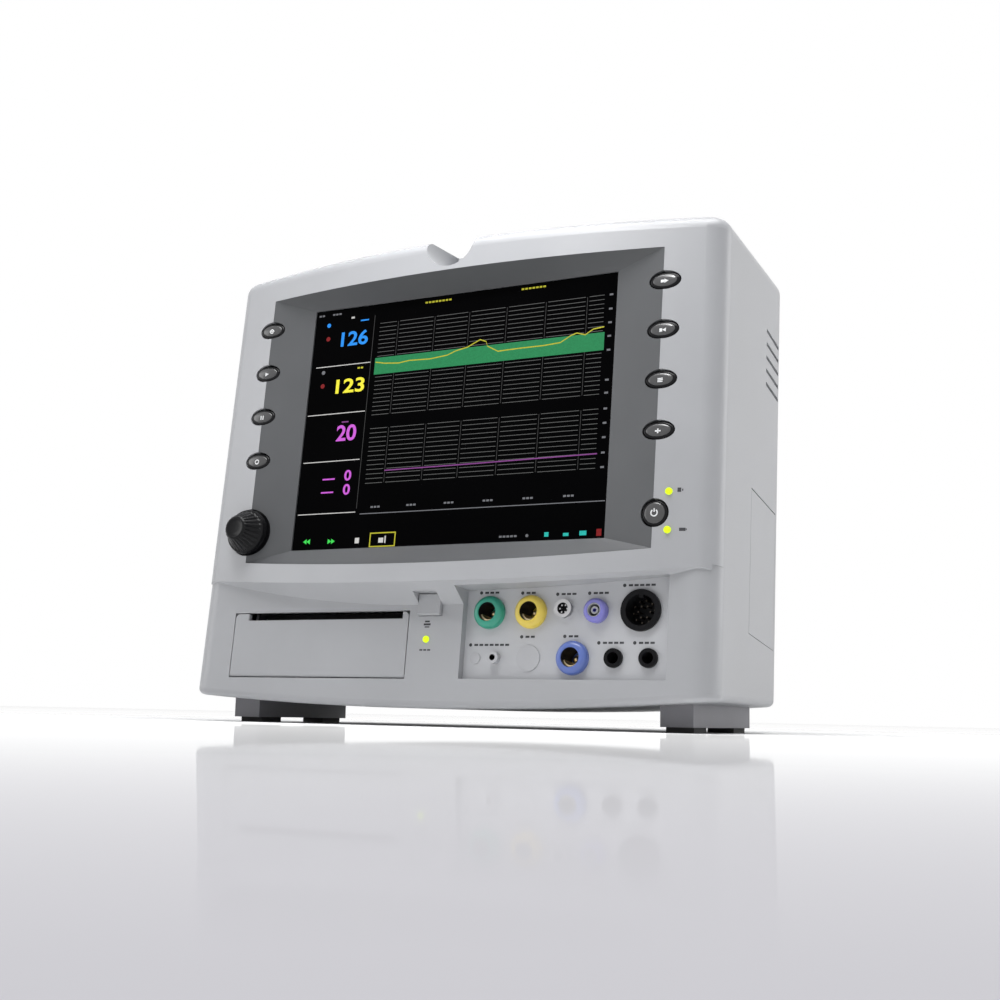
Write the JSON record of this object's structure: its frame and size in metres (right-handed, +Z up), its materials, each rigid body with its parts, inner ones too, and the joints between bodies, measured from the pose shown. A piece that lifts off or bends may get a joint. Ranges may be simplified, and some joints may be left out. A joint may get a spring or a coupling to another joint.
{
  "type": "fetal monitor",
  "caption": "Desk-top fetal monitor in a light grey tapered case with a tilted screen, oval keys, a turn-and-push knob, a paper printer and a panel of probe sockets.",
  "frame": {"origin": "on the floor under the middle of the overall box, at the underside of the foot pads", "axes": "+X to the right seen from the front, +Y from the front to the back, +Z up"},
  "size_m": [0.343, 0.1854, 0.2944],
  "materials": {
    "casing": "fine satin, light cool grey",
    "surround": "satin, mid grey",
    "glass": "clear, anti-glare",
    "screen": "near black",
    "rubber": "matt black",
    "steel": "plain zinc-plated sheet",
    "board": "green laminate",
    "black": "satin black",
    "dark_plastic": "black moulding",
    "lamp": "yellow-green lens",
    "green": "sea green",
    "yellow": "warm yellow",
    "blue": "mid blue",
    "violet": "blue violet",
    "brass": "plain",
    "bright_metal": "nickel plated",
    "blank": "light grey cap",
    "aluminium": "plain",
    "gear": "natural acetal",
    "foot": "grey moulding"
  },
  "bodies": {
    "case": {"front_housing": "casing", "rear_housing": "casing", "connector_panel": "casing", "screen_surround": "surround", "display_window": "glass", "lcd_panel": "screen", "display_gasket": "rubber", "foot_pads": "rubber", "lcd_bracket": "steel", "chassis": "steel", "printer_frame": "steel", "motor_bracket": "steel", "housing_screws": "steel", "left_key_board": "board", "right_key_board": "board", "main_board": "board", "print_key_board": "board", "knob_collar": "black", "encoder_body": "dark_plastic", "battery_pack": "dark_plastic", "battery_holder": "dark_plastic", "mains_inlet": "dark_plastic", "large_socket": "dark_plastic", "jack_sockets": "dark_plastic", "speaker": "dark_plastic", "status_lamps": "lamp", "green_socket": "green", "yellow_socket": "yellow", "blue_socket": "blue", "hose_port": "violet", "socket_contacts": "brass", "earth_stud": "brass", "multi_pin_socket": "bright_metal", "blanking_plugs": "blank", "probe_jack": "blank", "power_supply": "aluminium", "pump": "aluminium", "drive_motor": "aluminium", "print_head": "aluminium", "foot_rails": "foot"},
    "power_button": {"power_button": "black"},
    "print_button": {"print_button": "casing"},
    "knob_plunger": {"encoder_plunger": "steel"},
    "knob": {"knob": "black", "encoder_shaft": "steel"},
    "printer_door": {"printer_door": "casing"},
    "battery_cover": {"battery_cover": "casing"},
    "platen": {"platen_roller": "rubber", "platen_shaft": "steel", "platen_gear": "gear"},
    "motor_rotor": {"motor_pinion": "gear"},
    "left_key_1": {"left_key_1": "black"},
    "left_key_2": {"left_key_2": "black"},
    "left_key_3": {"left_key_3": "black"},
    "left_key_4": {"left_key_4": "black"},
    "right_key_1": {"right_key_1": "black"},
    "right_key_2": {"right_key_2": "black"},
    "right_key_3": {"right_key_3": "black"},
    "right_key_4": {"right_key_4": "black"}
  },
  "joints": [
    {"name": "left_key_1_press", "type": "slide", "parent": "case", "child": "left_key_1", "axis": [0, 0.9945, -0.1045], "range_m": [0, 0.001], "stiffness_N_per_m": 500, "springref_m": -0.001},
    {"name": "left_key_2_press", "type": "slide", "parent": "case", "child": "left_key_2", "axis": [0, 0.9945, -0.1045], "range_m": [0, 0.001], "stiffness_N_per_m": 500, "springref_m": -0.001},
    {"name": "left_key_3_press", "type": "slide", "parent": "case", "child": "left_key_3", "axis": [0, 0.9945, -0.1045], "range_m": [0, 0.001], "stiffness_N_per_m": 500, "springref_m": -0.001},
    {"name": "left_key_4_press", "type": "slide", "parent": "case", "child": "left_key_4", "axis": [0, 0.9945, -0.1045], "range_m": [0, 0.001], "stiffness_N_per_m": 500, "springref_m": -0.001},
    {"name": "right_key_1_press", "type": "slide", "parent": "case", "child": "right_key_1", "axis": [0, 0.9945, -0.1045], "range_m": [0, 0.001], "stiffness_N_per_m": 500, "springref_m": -0.001},
    {"name": "right_key_2_press", "type": "slide", "parent": "case", "child": "right_key_2", "axis": [0, 0.9945, -0.1045], "range_m": [0, 0.001], "stiffness_N_per_m": 500, "springref_m": -0.001},
    {"name": "right_key_3_press", "type": "slide", "parent": "case", "child": "right_key_3", "axis": [0, 0.9945, -0.1045], "range_m": [0, 0.001], "stiffness_N_per_m": 500, "springref_m": -0.001},
    {"name": "right_key_4_press", "type": "slide", "parent": "case", "child": "right_key_4", "axis": [0, 0.9945, -0.1045], "range_m": [0, 0.001], "stiffness_N_per_m": 500, "springref_m": -0.001},
    {"name": "power_button_press", "type": "slide", "parent": "case", "child": "power_button", "axis": [0, 0.9945, -0.1045], "range_m": [0, 0.001], "stiffness_N_per_m": 500, "springref_m": -0.001},
    {"name": "print_button_press", "type": "slide", "parent": "case", "child": "print_button", "axis": [0, 0.9945, -0.1045], "range_m": [0, 0.001], "stiffness_N_per_m": 500, "springref_m": -0.001},
    {"name": "knob_press", "type": "slide", "parent": "case", "child": "knob_plunger", "axis": [0, 0.9945, -0.1045], "range_m": [0, 0.0008], "stiffness_N_per_m": 2000, "springref_m": -0.001},
    {"name": "knob_turn", "type": "hinge", "parent": "knob_plunger", "child": "knob", "pos_m": [-0.1363, -0.0755, 0.11752], "axis": [0, 0.9945, -0.1045], "continuous": true},
    {"name": "printer_door_hinge", "type": "hinge", "parent": "case", "child": "printer_door", "pos_m": [-0.0791, -0.07887, 0.02899], "axis": [1, 0, 0], "range_deg": [0, 80]},
    {"name": "battery_cover_hinge", "type": "hinge", "parent": "case", "child": "battery_cover", "pos_m": [0.16175, 0.03521, 0.13615], "axis": [0.0797, -0.9914, 0.1042], "range_deg": [0, 75]},
    {"name": "platen_turn", "type": "hinge", "parent": "case", "child": "platen", "pos_m": [-0.0761, -0.05285, 0.06124], "axis": [1, 0, 0], "continuous": true},
    {"name": "motor_turn", "type": "hinge", "parent": "case", "child": "motor_rotor", "pos_m": [-0.0107, -0.03987, 0.04996], "axis": [1, 0, 0], "continuous": true}
  ],
  "couplings": [
    {"joint": "motor_turn", "follows": "platen_turn", "ratio": -1.5294}
  ]
}
